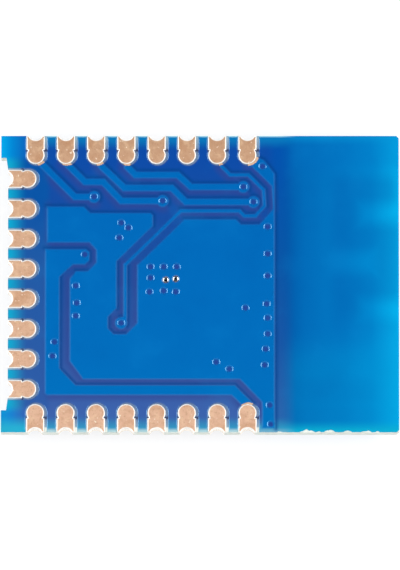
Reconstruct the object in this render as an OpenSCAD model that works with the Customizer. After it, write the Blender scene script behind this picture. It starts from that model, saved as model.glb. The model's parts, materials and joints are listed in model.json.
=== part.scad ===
// Small Bluetooth radio module on a castellated board. It lies with its pad side up
// and rests on the top face of its controller chip.

/* [Board] */
// Length of the board, along X
board_length = 19.7; // [19.4:0.1:22]
// Width of the board, along Y
board_width = 14.8; // [14.6:0.1:16]
// Thickness of the bare laminate
board_thickness = 1.0; // [0.6:0.1:1.6]
// Cut across the two corners at the antenna end
corner_cut = 0.12; // [0.05:0.01:0.4]
// How far the milled left edge stands back from its two corner tabs
edge_recess = 0.34; // [0.2:0.01:0.45]
// Length of each corner tab along the left edge
tab_length = 1.1; // [0.7:0.05:1.15]

/* [Copper and solder mask] */
// Thickness of the etched copper foil
foil_thickness = 0.035; // [0.02:0.005:0.07]
// Thickness of the copper plated into the holes and onto the edge pads
plating_thickness = 0.025; // [0.015:0.005:0.04]
// Thickness of the solder mask film
mask_thickness = 0.025; // [0.015:0.005:0.04]
// Width of the shoulder that the film forms beside a copper edge
mask_shoulder = 0.05; // [0.03:0.01:0.08]
// Space between a pad and the edge of its opening in the film
mask_gap = 0.07; // [0.06:0.01:0.1]
// Sideways error of the film against the pads
mask_shift = 0.05; // [0:0.01:0.06]

/* [Edge pads] */
// Distance between neighbouring pads
pad_pitch = 1.5; // [1.45:0.01:1.52]
// Distance from the left end of the board to the first pad of the long rows
first_pad = 1.7; // [1.6:0.05:1.75]
// Width of the straight neck of a pad
pad_width = 0.91; // [0.8:0.01:0.95]
// Length of the straight neck from the board's edge
pad_neck = 0.71; // [0.6:0.01:0.75]
// Diameter of the round inner end of a pad
pad_round = 0.9; // [0.8:0.01:0.95]
// Distance from the board's edge to the middle of the round end
pad_reach = 0.96; // [0.9:0.01:1]
// Length of the land on the component side
back_land_length = 0.8; // [0.5:0.05:0.9]
// Diameter of the half hole in the board's edge
edge_hole = 0.8; // [0.74:0.01:0.84]
// How far the middle of the half hole lies outside the edge
edge_hole_offset = 0.17; // [0.1:0.01:0.2]

/* [Vias and tracks] */
// Drilled diameter of a via
via_drill = 0.3; // [0.25:0.01:0.34]
// Diameter of the copper ring round a signal via
via_ring = 0.6; // [0.55:0.01:0.66]
// Width of the opening over the two vias left bare
bare_via = 0.44; // [0.4:0.01:0.5]
// Width of the ordinary signal tracks
signal_width = 0.33; // [0.25:0.01:0.36]
// Width of the long fine track
fine_width = 0.18; // [0.14:0.01:0.24]
// Width of the tracks on the component side
back_width = 0.2; // [0.15:0.01:0.24]
// Clearance between the ground area and the other copper
pour_gap = 0.33; // [0.25:0.01:0.36]
// Wider clearance beside the long straight runs
side_gap = 0.5; // [0.4:0.01:0.55]

/* [Antenna] */
// Width of the antenna trace
antenna_width = 0.4; // [0.3:0.01:0.5]
// Distance between neighbouring runs of the meander
antenna_step = 2.4; // [2.2:0.05:2.45]
// Length of each run of the meander
antenna_run = 2.1; // [1.8:0.05:2.5]
// Distance from the outer run to the end of the board
antenna_margin = 0.55; // [0.4:0.05:0.7]

/* [Controller chip] */
// Side of the square package
chip_size = 4; // [3.8:0.05:4.1]
// Height of the package
chip_height = 0.85; // [0.8:0.05:1]
// Distance between neighbouring terminals
chip_pitch = 0.5; // [0.48:0.01:0.5]
// Side of the exposed pad under the package
chip_pad = 2.6; // [2.4:0.05:2.7]

/* [Crystal] */
// Length of the crystal's ceramic case
crystal_length = 3.2; // [3:0.05:3.3]
// Width of the crystal's ceramic case
crystal_width = 2.5; // [2.4:0.05:2.6]
// Height of the case with its lid
crystal_height = 0.7; // [0.55:0.05:0.75]

/* [Chip capacitors, inductors and resistor] */
// Length of a chip part over its end caps
small_length = 1.0; // [0.95:0.01:1.05]
// Width of a chip part
small_width = 0.5; // [0.45:0.01:0.55]
// Height of a capacitor or an inductor
small_height = 0.5; // [0.4:0.01:0.6]
// Height of the flat resistor
flat_height = 0.35; // [0.3:0.01:0.4]
// Length of each end cap
cap_length = 0.24; // [0.2:0.01:0.28]
// Thickness of the solder under the parts
solder_thickness = 0.03; // [0.02:0.005:0.05]

/* [Hidden] */
$fn = 48;
left = -board_length / 2;
right = board_length / 2;
bottom = -board_width / 2;
top = board_width / 2;
edge = left + edge_recess;
seat = foil_thickness + solder_thickness;
z_comp = seat + chip_height;
z_pad = z_comp + board_thickness;
land_thickness = foil_thickness + plating_thickness;
opening = 2 * mask_gap;
far = 4 * board_thickness + 4;

// Slant of the milled left edge next to a tab
slant_depth = edge_recess / 4;
slant_length = 0.6;

// Right end of the ground areas on the pad side and on the component side
ground_end = left + 13.55;
back_ground_end = left + 14.15;

chip_x = left + 8.05;
chip_y = 0.2;
terminals = 6;
terminal_width = 0.25;
terminal_length = 0.4;
terminal_thickness = 0.2;
chip_land_width = 0.28;
chip_toe = 0.28;

crystal_x = left + 4.95;
crystal_y = bottom + 2.1 + crystal_width / 2;
crystal_land = [1.15, 0.95];
crystal_terminal = [0.95, 0.8, 0.02];
crystal_pad = [crystal_length / 2 - 0.5, crystal_width / 2 - 0.42];
lid_inset = 0.15;
lid_height = crystal_height * 0.35;

small_land = [0.55, small_width + 0.1];
small_land_x = small_length / 2 - 0.02;
cap_edge = 0.03;

// Pads of each long row, and as many in the left column as fit between the rows
row_pads = 8;
column_clear = 2 * (pad_reach + pad_round / 2 + opening) + pad_round;
column_pads = 1 + floor((board_width - column_clear) / pad_pitch);
last_pad = 2 * row_pads + column_pads - 1;
pads = [0:last_pad];

function row_x(i) = left + first_pad + i * pad_pitch;
function column_y(i) = ((column_pads - 1) / 2 - i) * pad_pitch;

// Place on the edge and inward direction of a pad: long row, left column, other long row
function pad_place(k) =
    k < row_pads ? [row_x(k), top, -90] :
    k < row_pads + column_pads ? [edge, column_y(k - row_pads), 0] :
    [row_x(k - row_pads - column_pads), bottom, 90];

function pad_name(k) = str("edge_pad_", k < 9 ? "0" : "", k + 1);

// Outline of a strip along a path, with mitred bends
function unit(v) = v / norm(v);
function side_of(a, b) = let (d = unit(b - a)) [-d[1], d[0]];
function mitre(m, n, d) = (m + n) * d / (1 + m * n);
function beside(path, d) = [
    for (i = [0:len(path) - 1])
        let (m = side_of(path[max(i - 1, 0)], path[max(i, 1)]))
        let (n = i == len(path) - 1 ? m : side_of(path[i], path[i + 1]))
        path[i] + mitre(m, n, d)
];
function backwards(list) = [for (i = [len(list) - 1:-1:0]) list[i]];

// Outline moved outward by d, for points that run clockwise
function grown(points, d) = [
    for (i = [0:len(points) - 1])
        let (count = len(points))
        let (m = side_of(points[(i + count - 1) % count], points[i]))
        let (n = side_of(points[i], points[(i + 1) % count]))
        points[i] + mitre(m, n, d)
];

// Signal tracks of the pad side, each from a pad to its via
track_a = [
    [row_x(0), top - 1.1],
    [row_x(0) + 1.95, top - 3.05],
    [left + 4.6, top - 3.05]
];
track_b = [
    [row_x(1), top - 1.1],
    [row_x(1), top - 1.35],
    [row_x(1) + 0.95, top - 2.3],
    [left + 5.05, top - 2.3],
    [left + 5.95, top - 3.25],
    [left + 8.0, top - 3.25]
];
track_c = [
    [row_x(2), top - 1.1],
    [row_x(2) + 0.3, top - 1.55],
    [row_x(2) + 1.4, top - 2.6],
    [left + 8.45, top - 2.6],
    [left + 9.15, top - 3.3],
    [left + 12.5, top - 3.3]
];
track_d = [
    [row_x(3), top - 1.1],
    [row_x(3) + 0.05, top - 1.55],
    [row_x(3) + 0.45, top - 1.95],
    [left + 8.75, top - 1.95],
    [left + 9.4, top - 2.55],
    [left + 12.0, top - 2.55]
];

// Fine track: a loop near the antenna end, then the long run to the chip
fine_start = [
    [row_x(6), top - 1.1],
    [row_x(6) + 0.25, top - 1.55],
    [row_x(6) + 0.65, top - 1.95]
];
fine_loop = [
    [left + 12.25, top - 1.95],
    [left + 13.0, top - 2.7],
    [left + 13.05, top - 3.5],
    [left + 12.6, top - 4.0],
    [left + 12.05, top - 4.0],
    [left + 11.8, top - 3.75],
    [left + 8.9, top - 3.75]
];
fine_run = [
    [left + 6.15, chip_y + 0.75],
    [left + 6.15, chip_y - 1.95]
];
fine_via = [left + 5.95, chip_y - 2.15];
track_e = concat(fine_start, fine_loop, fine_run, [fine_via]);
wide_tracks = [track_a, track_b, track_c, track_d];

// Thick supply track, from its head at the left down to the last pad of the lower row
head_top = 1.74;
head_foot = 0.97;
supply_left = left + 2.18;
supply_right = left + 2.9;
supply_foot = bottom + 1.86;
supply_top = bottom + 2.35;
supply_outline = [
    [supply_left, head_top],
    [left + 4.2, head_top],
    [left + 4.38, head_top - 0.15],
    [left + 4.38, head_foot + 0.2],
    [left + 4.15, head_foot],
    [supply_right + 0.67, head_foot],
    [supply_right, head_foot - 0.62],
    [supply_right, supply_top + 0.85],
    [supply_right + 0.8, supply_top],
    [row_x(7) - 0.62, supply_top],
    [row_x(7) + 0.28, supply_top - 0.9],
    [row_x(7), bottom + pad_reach],
    [row_x(7) - 0.37, supply_foot - 0.42],
    [row_x(7) - 0.79, supply_foot],
    [supply_left + 0.1, supply_foot],
    [supply_left, supply_foot + 0.1]
];

// Ground area of the pad side, before the clearance round the fine track is cut from it
ground_corner = left + 7.52;
run_share = (ground_corner - fine_run[0][0]) / (fine_loop[6][0] - fine_run[0][0]);
ground_outline = concat(
    [
        [left + 2.27, top - 3.53],
        [left + 4.1, top - 3.53],
        [left + 4.42, top - 3.85],
        [ground_corner - 0.12, top - 3.85],
        [ground_corner, top - 3.97],
        [ground_corner, fine_run[0][1] + run_share * (fine_loop[6][1] - fine_run[0][1])]
    ],
    backwards(fine_loop),
    [
        [row_x(7), top - pad_reach],
        [row_x(7) + 0.45, top - 1.05],
        [left + 13.0, top - 1.2],
        [left + 13.25, top - 1.5],
        [ground_end, top - 1.9],
        [ground_end, bottom + 0.2],
        [left + 12.92, bottom + 0.2],
        [left + 12.92, bottom + 1.5],
        [left + 11.82, supply_top + 0.3],
        [supply_right + 1.16, supply_top + 0.3],
        [supply_right + side_gap, supply_top + 1.2],
        [supply_right + side_gap, head_foot - 0.72],
        [supply_right + 0.8, head_foot - pour_gap],
        [left + 4.3, head_foot - pour_gap],
        [left + 4.38 + pour_gap, head_foot + 0.1],
        [left + 4.38 + pour_gap, head_top - 0.05],
        [left + 4.38, head_top + pour_gap],
        [left + 2.27, head_top + pour_gap]
    ]
);

// Clearance cut from the ground area along the long run of the fine track and round its via
run_right = fine_run[0][0] + fine_width / 2 + side_gap;
run_clearance = [
    [fine_via[0], chip_y + 1.05],
    [run_right, chip_y + 1.05],
    [run_right, fine_via[1]],
    fine_via + [0.24, -0.55],
    fine_via + [-0.38, -0.55],
    fine_via + [-0.65, -0.27],
    fine_via + [-0.65, 0.3],
    fine_via + [0, 0.95]
];

// Vias that join the ground areas, with the small scatter of their drilling
ground_via_places = [
    [left + 5.95, top - 4.35],
    [left + 6.3, top - 4.6],
    [left + 5.85, top - 5.1],
    [left + 3.7, chip_y - 0.3],
    [left + 3.75, chip_y - 1.15],
    [left + 3.7, chip_y - 1.8],
    [left + 12.95, top - 1.53],
    [left + 13.2, top - 4.55],
    [left + 13.2, chip_y + 1.3],
    [left + 13.2, chip_y + 0.2],
    [left + 13.15, chip_y - 1.2],
    [left + 12.1, chip_y - 1.4],
    [left + 13.2, bottom + 5.7],
    [left + 13.2, bottom + 4.9],
    [left + 13.1, bottom + 4.15],
    [left + 13.05, bottom + 3.35],
    [left + 10.65, bottom + 3.5],
    [left + 11.3, bottom + 3.15],
    [left + 13.3, bottom + 1.35],
    [left + 13.35, bottom + 0.4]
];

// Vias under the chip's exposed pad, and the two of them that the film leaves bare
chip_via_places = [
    [chip_x - 0.65, chip_y + 0.65],
    [chip_x, chip_y + 0.65],
    [chip_x + 0.65, chip_y + 0.65],
    [chip_x - 0.65, chip_y + 0.1],
    [chip_x - 0.7, chip_y - 0.6],
    [chip_x, chip_y - 0.55],
    [chip_x + 0.6, chip_y - 0.6]
];
bare_via_places = [
    [chip_x + 0.1, chip_y],
    [chip_x + 0.6, chip_y + 0.05]
];

// Vias at the ends of the signal tracks, and those in the supply track
signal_via_places = [track_a[2], track_b[5], track_c[5], track_d[5], fine_via];
supply_via_places = [
    [left + 4.15, head_top - 0.27],
    [left + 2.65, bottom + 4.5],
    [left + 2.55, bottom + 3.8]
];
joining_vias = concat(ground_via_places, chip_via_places, bare_via_places);
carrying_vias = concat(signal_via_places, supply_via_places);
all_vias = concat(joining_vias, carrying_vias);

// Chip parts of the component side: place and turn
series_place = [left + 12.5, bottom + 5.0, 90];
coil_place = [left + 11.15, chip_y - 0.75, 0];
shunt_place = [left + 11.35, bottom + 4.25, 0];
load_place_a = [crystal_x - crystal_length / 2 - 0.55, bottom + 2.4, 90];
load_place_b = [crystal_x + crystal_length / 2 + 0.7, bottom + 3.5, 90];
capacitor_places = [
    [left + 7.5, chip_y + 2.95, 0],
    [left + 9.15, chip_y + 2.95, 0],
    [left + 4.65, top - 4.55, 0],
    [left + 10.7, chip_y + 3.3, 90],
    load_place_a,
    load_place_b,
    [left + 4.55, chip_y - 0.8, 90],
    series_place,
    shunt_place,
    [left + 11.6, chip_y + 2.0, 0]
];
inductor_places = [coil_place, [left + 11.45, chip_y + 1.1, 0]];
resistor_places = [[load_place_b[0] + 2.0, bottom + 3.8, 90]];
small_places = concat(capacitor_places, inductor_places, resistor_places);

// Antenna, from its open end along the meander to the ground leg, and its feed leg
outer_x = right - antenna_margin;
inner_x = outer_x - antenna_run;
meander_top = top - 2.7;
antenna_path = [
    [outer_x, meander_top],
    [inner_x, meander_top],
    [inner_x, meander_top - antenna_step],
    [outer_x, meander_top - antenna_step],
    [outer_x, meander_top - 2 * antenna_step],
    [inner_x, meander_top - 2 * antenna_step],
    [inner_x, meander_top - 3 * antenna_step],
    [outer_x, meander_top - 3 * antenna_step],
    [outer_x, bottom + 0.75],
    [back_ground_end, bottom + 0.75]
];
feed_path = [
    [series_place[0], series_place[1] - small_land_x],
    [series_place[0], bottom + 2.95],
    [series_place[0] + 0.95, bottom + 2.0],
    [outer_x, bottom + 2.0]
];

// Tracks of the component side
crystal_pin_a = [crystal_x, crystal_y] - crystal_pad;
crystal_pin_b = [crystal_x, crystal_y] + crystal_pad;
chip_side = chip_size / 2;
crystal_track_a = [
    crystal_pin_a,
    [crystal_pin_a[0], bottom + 1.7],
    [load_place_b[0] + 0.6, bottom + 1.7],
    [load_place_b[0] + 1.0, bottom + 2.1],
    [load_place_b[0] + 1.0, bottom + 4.5],
    [chip_x - 0.5 * chip_pitch, chip_y - chip_side - 0.45],
    [chip_x - 0.5 * chip_pitch, chip_y - chip_side]
];
crystal_track_b = [
    [chip_x - 2.5 * chip_pitch, chip_y - chip_side],
    [chip_x - 2.5 * chip_pitch, crystal_pin_b[1] + 0.45],
    [crystal_pin_b[0] + 0.3, crystal_pin_b[1]],
    crystal_pin_b
];
back_tracks = [
    [
        [chip_x + chip_side, coil_place[1]],
        [coil_place[0] - small_land_x, coil_place[1]]
    ],
    [
        [coil_place[0] + small_land_x, coil_place[1]],
        [series_place[0], coil_place[1]],
        [series_place[0], series_place[1] + small_land_x]
    ],
    [
        [shunt_place[0] + small_land_x, shunt_place[1]],
        [series_place[0], shunt_place[1]]
    ],
    crystal_track_a,
    crystal_track_b,
    [
        crystal_pin_a,
        [load_place_a[0] + 0.45, crystal_pin_a[1]],
        [load_place_a[0], load_place_a[1] + small_land_x]
    ],
    [
        [load_place_b[0], load_place_b[1] + small_land_x],
        [crystal_pin_b[0], crystal_pin_b[1]]
    ],
    [
        [chip_x - chip_side, chip_y + 2.5 * chip_pitch],
        supply_via_places[0]
    ],
    [
        [chip_x - chip_side, chip_y + 1.5 * chip_pitch],
        [left + 3.9, chip_y + 1.5 * chip_pitch],
        [left + 3.7, column_y(3)],
        [edge + back_land_length / 2, column_y(3)]
    ],
    [
        [chip_x - chip_side, chip_y - 2.5 * chip_pitch],
        [chip_x - chip_side, chip_y - 2.5 * chip_pitch - 0.45],
        fine_via
    ]
];

// Ground area of the component side, before its clearances are cut
back_ground_outline = [
    [left + 1.75, top - 1.3],
    [left + 13.1, top - 1.3],
    [left + 13.1, top - 0.3],
    [back_ground_end, top - 0.3],
    [back_ground_end, bottom + 0.3],
    [left + 13.1, bottom + 0.3],
    [left + 13.1, bottom + 1.3],
    [left + 1.75, bottom + 1.3]
];

base_nodes = [
    "fr4_core",
    "ground_pour",
    "signal_tracks",
    "fine_track",
    "supply_track",
    "ground_vias",
    "signal_vias",
    "pad_side_mask",
    "component_ground",
    "component_tracks",
    "component_lands",
    "antenna_trace",
    "component_mask",
    "chip_package",
    "chip_terminals",
    "chip_exposed_pad",
    "crystal_case",
    "crystal_lid",
    "crystal_terminals",
    "capacitor_bodies",
    "capacitor_caps",
    "inductor_bodies",
    "inductor_caps",
    "resistor_body",
    "resistor_coat",
    "resistor_caps",
    "solder_joints"
];

module at_pad(k) {
    place = pad_place(k);
    translate([place[0], place[1]])
        rotate(place[2])
            children();
}

module at_vias(places) {
    for (place = places)
        translate(place)
            children();
}

module at_small(places) {
    for (place = places)
        translate([place[0], place[1]])
            rotate(place[2])
                children();
}

// Everything on the component side is drawn upward from the laminate and turned over here
module on_component_side() {
    translate([0, 0, z_comp])
        mirror([0, 0, 1])
            children();
}

module strip(path, width) {
    polygon(concat(beside(path, -width / 2), backwards(beside(path, width / 2))));
}

module board_outline() {
    polygon([
        [left, top],
        [left, top - tab_length],
        [edge - slant_depth, top - tab_length],
        [edge, top - tab_length - slant_length],
        [edge, bottom + tab_length + slant_length],
        [edge - slant_depth, bottom + tab_length],
        [left, bottom + tab_length],
        [left, bottom],
        [right - corner_cut, bottom],
        [right, bottom + corner_cut],
        [right, top - corner_cut],
        [right - corner_cut, top]
    ]);
}

// Land of a pad, drawn inward from the board's edge
module keyhole(extra = 0, outside = 0) {
    translate([-outside, -pad_width / 2 - extra])
        square([pad_neck + extra + outside, pad_width + 2 * extra]);
    translate([pad_reach, 0])
        circle(d = pad_round + 2 * extra);
}

module back_land(extra = 0, outside = 0) {
    translate([-outside, -pad_width / 2 - extra])
        square([back_land_length + extra + outside, pad_width + 2 * extra]);
}

module edge_hole_circle(diameter) {
    translate([-edge_hole_offset, 0])
        circle(d = diameter);
}

// Copper of the pad side. Extra widens it, for the film that runs over it.
module signal_copper(extra = 0) {
    for (path = wide_tracks)
        strip(path, signal_width + 2 * extra);
    at_vias([track_a[2], track_b[5], track_c[5], track_d[5]])
        circle(d = via_ring + 2 * extra);
}

module fine_copper(extra = 0) {
    strip(track_e, fine_width + 2 * extra);
    translate(fine_via)
        circle(d = via_ring + 2 * extra);
}

module supply_copper(extra = 0) {
    polygon(backwards(grown(supply_outline, extra)));
}

module ground_copper(extra = 0) {
    difference() {
        polygon(backwards(grown(ground_outline, extra)));
        strip(track_e, fine_width + 2 * pour_gap - 2 * extra);
        polygon(backwards(grown(run_clearance, -extra)));
    }
}

module pad_side_copper(extra = 0) {
    signal_copper(extra);
    fine_copper(extra);
    supply_copper(extra);
    ground_copper(extra);
}

// Lands of the component side
module chip_lands(extra = 0) {
    translate([chip_x, chip_y]) {
        for (turn = [0:90:270])
            rotate(turn)
                for (i = [0:terminals - 1])
                    translate([
                        chip_side - terminal_length - extra,
                        (i - (terminals - 1) / 2) * chip_pitch - chip_land_width / 2 - extra
                    ])
                        square([terminal_length + chip_toe + 2 * extra, chip_land_width + 2 * extra]);
        square(chip_pad + 2 * extra, center = true);
    }
}

module crystal_lands(extra = 0) {
    for (x = [-1, 1], y = [-1, 1])
        translate([crystal_x + x * crystal_pad[0], crystal_y + y * crystal_pad[1]])
            square([crystal_land[0] + 2 * extra, crystal_land[1] + 2 * extra], center = true);
}

module small_lands(extra = 0) {
    at_small(small_places)
        for (x = [-1, 1])
            translate([x * small_land_x, 0])
                square([small_land[0] + 2 * extra, small_land[1] + 2 * extra], center = true);
}

module all_lands(extra = 0) {
    chip_lands(extra);
    crystal_lands(extra);
    small_lands(extra);
}

// Copper of the component side
module antenna_copper(extra = 0) {
    strip(antenna_path, antenna_width + 2 * extra);
    strip(feed_path, antenna_width + 2 * extra);
}

module back_track_copper(extra = 0) {
    for (path = back_tracks)
        strip(path, back_width + 2 * extra);
    at_vias(carrying_vias)
        circle(d = via_ring + 2 * extra);
    strip([supply_via_places[1], supply_via_places[2]], 0.8 * via_ring + 2 * extra);
}

module back_ground_copper(extra = 0) {
    gap = pour_gap / 2 - extra;
    difference() {
        polygon(backwards(grown(back_ground_outline, extra)));
        translate([chip_x, chip_y])
            square(chip_size + 2 * chip_toe + 2 * gap, center = true);
        polygon(concat(crystal_track_a, crystal_track_b));
        polygon([fine_via, crystal_pin_b, crystal_track_b[1], crystal_track_b[0]]);
        crystal_lands(gap);
        small_lands(gap);
        back_track_copper(gap);
        strip(feed_path, antenna_width + 2 * gap);
    }
}

// A film that runs over copper and leaves openings
module film() {
    difference() {
        union() {
            linear_extrude(mask_thickness)
                children(0);
            linear_extrude(foil_thickness + mask_thickness)
                intersection() {
                    children(0);
                    children(1);
                }
        }
        translate([0, 0, -1])
            linear_extrude(1 + foil_thickness)
                children(2);
    }
}

module fr4_core() {
    color("wheat")
        translate([0, 0, z_comp])
            linear_extrude(board_thickness)
                difference() {
                    board_outline();
                    for (k = pads)
                        at_pad(k)
                            edge_hole_circle(edge_hole);
                    at_vias(all_vias)
                        circle(d = via_drill);
                }
}

module ground_pour() {
    color("peru")
        translate([0, 0, z_pad])
            linear_extrude(foil_thickness)
                difference() {
                    ground_copper();
                    at_pad(7)
                        keyhole();
                    at_vias(joining_vias)
                        circle(d = via_drill);
                }
}

module signal_tracks() {
    color("peru")
        translate([0, 0, z_pad])
            linear_extrude(foil_thickness)
                difference() {
                    signal_copper();
                    for (k = [0:3])
                        at_pad(k)
                            keyhole();
                    at_vias(signal_via_places)
                        circle(d = via_drill);
                }
}

module fine_track() {
    color("peru")
        translate([0, 0, z_pad])
            linear_extrude(foil_thickness)
                difference() {
                    fine_copper();
                    at_pad(6)
                        keyhole();
                    translate(fine_via)
                        circle(d = via_drill);
                }
}

module supply_track() {
    color("peru")
        translate([0, 0, z_pad])
            linear_extrude(foil_thickness)
                difference() {
                    supply_copper();
                    at_pad(last_pad)
                        keyhole();
                    at_vias(supply_via_places)
                        circle(d = via_drill);
                }
}

// Plated barrels through the board and both foils
module barrels(places) {
    translate([0, 0, z_comp - foil_thickness])
        linear_extrude(board_thickness + 2 * foil_thickness)
            at_vias(places)
                difference() {
                    circle(d = via_drill);
                    circle(d = via_drill - 2 * plating_thickness);
                }
}

module ground_vias() {
    color("sandybrown")
        barrels(joining_vias);
}

module signal_vias() {
    color("sandybrown")
        barrels(carrying_vias);
}

// Land on each side and the plated wall of the half hole between them
module edge_pad(k) {
    color("burlywood")
        at_pad(k)
            difference() {
                union() {
                    translate([0, 0, z_pad])
                        linear_extrude(land_thickness)
                            keyhole();
                    translate([0, 0, z_comp - land_thickness])
                        linear_extrude(land_thickness)
                            back_land();
                    translate([0, 0, z_comp])
                        linear_extrude(board_thickness)
                            intersection() {
                                edge_hole_circle(edge_hole);
                                translate([0, -edge_hole])
                                    square(2 * edge_hole);
                            }
                }
                translate([0, 0, z_comp - far / 2])
                    linear_extrude(far)
                        edge_hole_circle(edge_hole - 2 * plating_thickness);
            }
}

module pad_side_cover() {
    difference() {
        board_outline();
        translate([mask_shift, 0])
            for (k = pads)
                at_pad(k)
                    keyhole(mask_gap, edge_hole);
        at_vias(concat(ground_via_places, chip_via_places, carrying_vias))
            circle(d = via_drill - 2 * plating_thickness);
        at_vias(bare_via_places)
            circle(d = bare_via);
    }
}

module pad_side_mask() {
    color("royalblue")
        translate([0, 0, z_pad])
            film() {
                pad_side_cover();
                pad_side_copper(mask_shoulder);
                pad_side_copper();
            }
}

module component_ground() {
    color("peru")
        on_component_side()
            linear_extrude(foil_thickness)
                difference() {
                    back_ground_copper();
                    at_vias(joining_vias)
                        circle(d = via_drill);
                }
}

module component_tracks() {
    color("peru")
        on_component_side()
            linear_extrude(foil_thickness)
                difference() {
                    back_track_copper();
                    all_lands();
                    at_pad(11)
                        back_land();
                    strip(feed_path, antenna_width);
                    at_vias(carrying_vias)
                        circle(d = via_drill);
                }
}

module component_lands() {
    color("peru")
        on_component_side()
            linear_extrude(foil_thickness)
                difference() {
                    all_lands();
                    at_vias(all_vias)
                        circle(d = via_drill);
                }
}

module antenna_trace() {
    color("peru")
        on_component_side()
            linear_extrude(foil_thickness)
                difference() {
                    antenna_copper();
                    small_lands();
                }
}

module component_cover() {
    difference() {
        board_outline();
        for (k = pads)
            at_pad(k)
                back_land(mask_gap, edge_hole);
        all_lands(mask_gap / 2);
        at_vias(all_vias)
            circle(d = via_drill - 2 * plating_thickness);
    }
}

module component_copper(extra = 0) {
    back_track_copper(extra);
    back_ground_copper(extra);
    antenna_copper(extra);
    at_vias(joining_vias)
        circle(d = via_drill + 2 * extra);
}

module component_mask() {
    color("royalblue")
        on_component_side()
            film() {
                component_cover();
                component_copper(mask_shoulder);
                component_copper();
            }
}

module terminal_set(length, width, thickness) {
    for (turn = [0:90:270])
        rotate(turn)
            for (i = [0:terminals - 1])
                translate([chip_side - length, (i - (terminals - 1) / 2) * chip_pitch - width / 2, 0])
                    cube([length, width, thickness]);
}

module at_chip() {
    on_component_side()
        translate([chip_x, chip_y, seat])
            children();
}

module chip_package() {
    color("dimgray")
        at_chip()
            difference() {
                translate([-chip_side, -chip_side, 0])
                    cube([chip_size, chip_size, chip_height]);
                terminal_set(terminal_length, terminal_width, terminal_thickness);
                translate([-chip_pad / 2, -chip_pad / 2, 0])
                    cube([chip_pad, chip_pad, terminal_thickness]);
                translate([-chip_side + 0.5, chip_side - 0.5, chip_height - 0.05])
                    cylinder(d = 0.4, h = 1);
            }
}

module chip_terminals() {
    color("silver")
        at_chip()
            terminal_set(terminal_length, terminal_width, terminal_thickness);
}

module chip_exposed_pad() {
    color("silver")
        at_chip()
            translate([-chip_pad / 2, -chip_pad / 2, 0])
                cube([chip_pad, chip_pad, terminal_thickness]);
}

module at_crystal() {
    on_component_side()
        translate([crystal_x, crystal_y, seat])
            children();
}

// Ceramic case with a quarter round in each corner
module crystal_case() {
    color("saddlebrown")
        at_crystal()
            translate([0, 0, crystal_terminal[2]])
                linear_extrude(crystal_height - lid_height - crystal_terminal[2])
                    difference() {
                        square([crystal_length, crystal_width], center = true);
                        for (x = [-1, 1], y = [-1, 1])
                            translate([x * crystal_length / 2, y * crystal_width / 2])
                                circle(d = 0.4);
                    }
}

module crystal_lid() {
    color("gainsboro")
        at_crystal()
            translate([0, 0, crystal_height - lid_height])
                linear_extrude(lid_height)
                    square([crystal_length - 2 * lid_inset, crystal_width - 2 * lid_inset], center = true);
}

module crystal_terminals() {
    color("gold")
        at_crystal()
            for (x = [-1, 1], y = [-1, 1])
                translate([
                    x * crystal_pad[0] - crystal_terminal[0] / 2,
                    y * crystal_pad[1] - crystal_terminal[1] / 2,
                    0
                ])
                    cube(crystal_terminal);
}

// Block along X with small flats on its long edges
module block(length, width, height) {
    rotate([90, 0, 90])
        linear_extrude(length)
            polygon([
                [-width / 2 + cap_edge, 0],
                [width / 2 - cap_edge, 0],
                [width / 2, cap_edge],
                [width / 2, height - cap_edge],
                [width / 2 - cap_edge, height],
                [-width / 2 + cap_edge, height],
                [-width / 2, height - cap_edge],
                [-width / 2, cap_edge]
            ]);
}

module at_parts(places) {
    on_component_side()
        translate([0, 0, seat])
            at_small(places)
                children();
}

module bodies(places, height) {
    at_parts(places)
        translate([cap_length - small_length / 2, 0, 0.02])
            block(small_length - 2 * cap_length, small_width - 0.04, height - 0.04);
}

module end_caps(places, height) {
    at_parts(places)
        for (x = [-small_length / 2, small_length / 2 - cap_length])
            translate([x, 0, 0])
                block(cap_length, small_width, height);
}

module capacitor_bodies() {
    color("tan")
        bodies(capacitor_places, small_height);
}

module capacitor_caps() {
    color("silver")
        end_caps(capacitor_places, small_height);
}

module inductor_bodies() {
    color("slategray")
        bodies(inductor_places, small_height);
}

module inductor_caps() {
    color("silver")
        end_caps(inductor_places, small_height);
}

module resistor_body() {
    color("white")
        bodies(resistor_places, flat_height);
}

module resistor_coat() {
    color("black")
        at_parts(resistor_places)
            translate([cap_length - small_length / 2, -small_width / 2 + 0.06, flat_height - 0.02])
                cube([small_length - 2 * cap_length, small_width - 0.12, 0.015]);
}

module resistor_caps() {
    color("silver")
        end_caps(resistor_places, flat_height);
}

// Solder under a terminal, with a slope up its end face
module solder(end, length, toe, rise, width) {
    rotate([90, 0, 0])
        linear_extrude(width, center = true)
            polygon([
                [end - length, foil_thickness],
                [end + toe, foil_thickness],
                [end, seat + rise],
                [end, seat],
                [end - length, seat]
            ]);
}

module solder_joints() {
    color("lightgray")
        on_component_side() {
            at_small(concat(capacitor_places, inductor_places))
                for (turn = [0, 180])
                    rotate(turn)
                        solder(small_length / 2, cap_length, 0.2, small_height * 0.55, small_width - 0.08);
            at_small(resistor_places)
                for (turn = [0, 180])
                    rotate(turn)
                        solder(small_length / 2, cap_length, 0.2, flat_height * 0.6, small_width - 0.08);
            translate([chip_x, chip_y]) {
                for (turn = [0:90:270])
                    rotate(turn)
                        for (i = [0:terminals - 1])
                            translate([0, (i - (terminals - 1) / 2) * chip_pitch])
                                solder(chip_side, terminal_length, 0.2, terminal_thickness * 0.7, terminal_width);
                translate([0, 0, foil_thickness])
                    linear_extrude(solder_thickness)
                        square(chip_pad - 0.1, center = true);
            }
            translate([0, 0, foil_thickness])
                linear_extrude(solder_thickness)
                    for (x = [-1, 1], y = [-1, 1])
                        translate([crystal_x + x * crystal_pad[0], crystal_y + y * crystal_pad[1]])
                            square([crystal_terminal[0] - 0.1, crystal_terminal[1] - 0.1], center = true);
        }
}

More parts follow.
